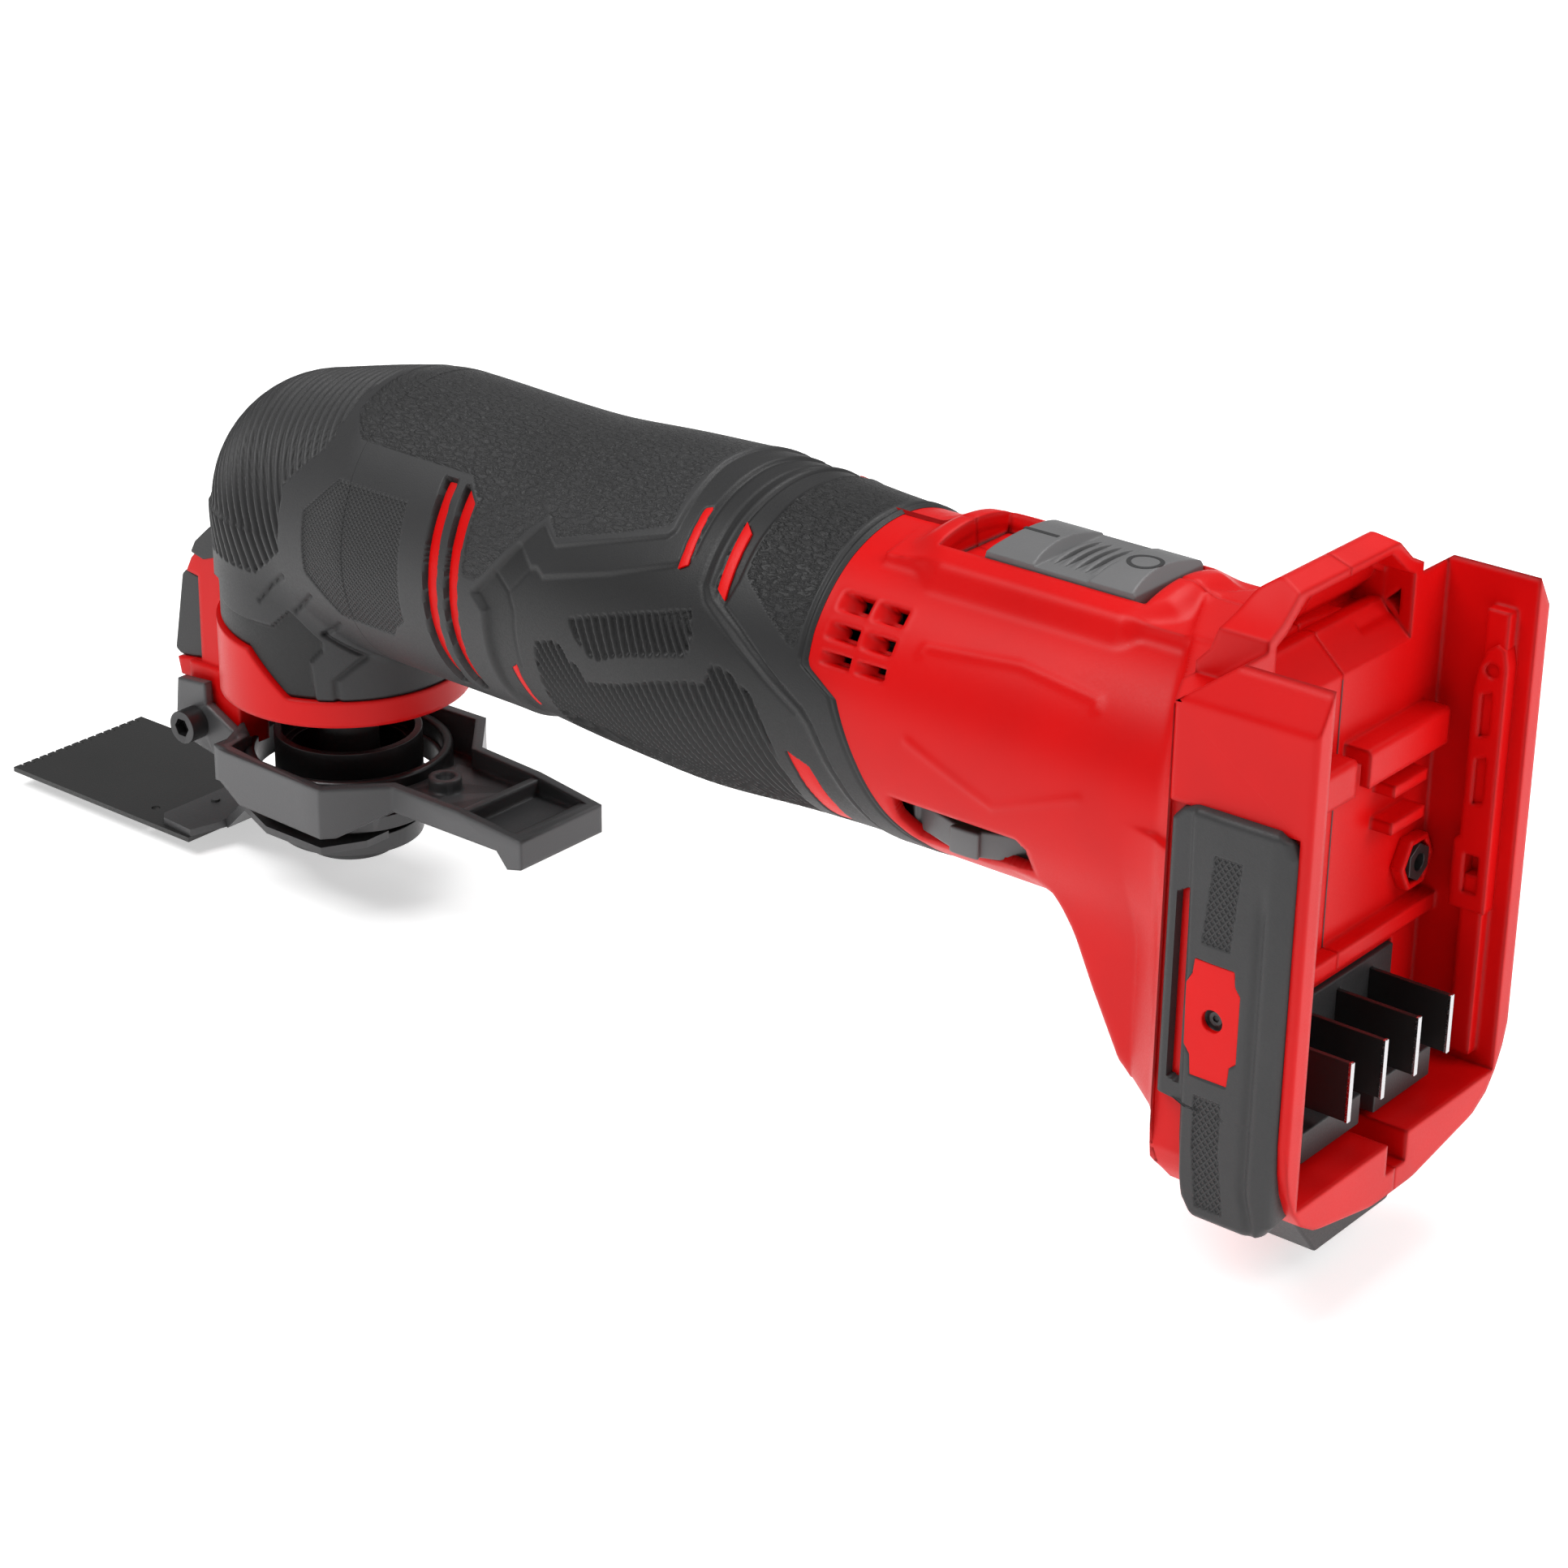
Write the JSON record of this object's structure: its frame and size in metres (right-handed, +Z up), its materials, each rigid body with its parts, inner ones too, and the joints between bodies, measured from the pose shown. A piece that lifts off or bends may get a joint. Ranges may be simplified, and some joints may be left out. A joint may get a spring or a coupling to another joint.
{
  "type": "cordless oscillating multi-tool",
  "caption": "Bare cordless oscillating multi-tool with a rubber-covered grip, slide switch, speed dial, squeeze lever, flush-cut blade and an empty slide-on battery dock.",
  "frame": {"origin": "centre of the accessory seat: the spindle axis at the lower face of the tool holder, which the blade's hub is clamped against", "axes": "+X from the blade to the battery foot, +Y to the tool's right side, +Z up along the spindle axis"},
  "size_m": [0.3172, 0.072, 0.1173],
  "materials": {
    "red_shell": "satin moulded",
    "grip_rubber": "soft matt",
    "red_inlay": "matt",
    "grey_control": "satin moulded",
    "lever_metal": "satin dark grey",
    "black_screw": "black oxide",
    "holder_steel": "blackened",
    "blade_steel": "dark coated",
    "shank_steel": "speckled dark coat",
    "bare_steel": "machined",
    "cast_case": "die cast",
    "motor_steel": "zinc plated",
    "magnet": "dark ferrite",
    "copper": "machined",
    "carbon": "matt",
    "black_plastic": "matt moulded",
    "white_plastic": "matt moulded",
    "blue_plastic": "matt moulded",
    "circuit_board": "lacquered",
    "lens": "clear",
    "wire_black": "smooth",
    "wire_red": "smooth"
  },
  "bodies": {
    "housing": {"left_housing": "red_shell", "right_housing": "red_shell", "head_shell": "red_shell", "head_cover": "grip_rubber", "left_grip_cover": "grip_rubber", "right_grip_cover": "grip_rubber", "nose_pad": "grip_rubber", "lamp_board": "circuit_board", "lamp_lens": "lens", "gearcase": "cast_case", "gearcase_screws": "bare_steel", "lower_bearing": "bare_steel", "upper_bearing": "bare_steel", "motor_can": "motor_steel", "motor_magnets": "magnet", "motor_end_cap": "black_plastic", "carbon_brushes": "carbon", "motor_front_bearing": "bare_steel", "motor_rear_bearing": "bare_steel", "lever_screws": "black_screw", "lever_spring": "bare_steel", "switch_body": "black_plastic", "dial_sensor": "blue_plastic", "control_board": "circuit_board", "heat_sink": "cast_case", "battery_wires": "wire_black", "motor_wires": "wire_red", "terminal_block": "black_plastic", "terminals": "bare_steel", "left_bumper": "grip_rubber", "right_bumper": "grip_rubber", "left_inlay": "red_inlay", "right_inlay": "red_inlay", "bumper_screws": "bare_steel", "foot_pad": "grip_rubber", "housing_screws": "bare_steel", "dock_nuts": "black_screw"},
    "rotor": {"rotor_shaft": "bare_steel", "armature": "motor_steel", "commutator": "copper", "cooling_fan": "black_plastic", "counterweight": "copper", "eccentric_pin": "bare_steel", "eccentric_bearing": "bare_steel"},
    "spindle_unit": {"spindle": "holder_steel", "swing_fork": "cast_case", "tool_holder": "holder_steel"},
    "clamp": {"clamp_stem": "bare_steel", "clamp_spring": "bare_steel", "clamp_flange": "holder_steel", "blade": "blade_steel", "blade_shank": "shank_steel", "shank_rivets": "shank_steel"},
    "lever": {"release_lever": "lever_metal"},
    "switch": {"switch_slider": "grey_control", "switch_link": "white_plastic"},
    "dial": {"speed_dial": "grey_control"}
  },
  "joints": [
    {"name": "motor_spin", "type": "hinge", "parent": "housing", "child": "rotor", "pos_m": [0.09, 0, 0.0652], "axis": [1, 0, 0], "continuous": true},
    {"name": "spindle_swing", "type": "hinge", "parent": "housing", "child": "spindle_unit", "pos_m": [0, 0, 0.04], "axis": [0, 0, 1], "range_deg": [-1.4, 1.4]},
    {"name": "lever_squeeze", "type": "hinge", "parent": "housing", "child": "lever", "pos_m": [-0.0252, 0, 0.0152], "axis": [0, -1, 0], "range_deg": [0, 12], "stiffness_Nm_per_rad": 0.5, "springref_deg": -17.19},
    {"name": "clamp_drop", "type": "slide", "parent": "spindle_unit", "child": "clamp", "axis": [0, 0, -1], "range_m": [0, 0.003], "deforming": ["clamp_spring"]},
    {"name": "switch_slide", "type": "slide", "parent": "housing", "child": "switch", "axis": [-1, 0, 0], "range_m": [0, 0.007]},
    {"name": "speed_dial_turn", "type": "hinge", "parent": "housing", "child": "dial", "pos_m": [0.164, 0, 0.0494], "axis": [0, 0, 1], "range_deg": [0, 270]}
  ],
  "couplings": [
    {"joint": "clamp_drop", "follows": "lever_squeeze", "m_per_rad": 0.0143}
  ]
}
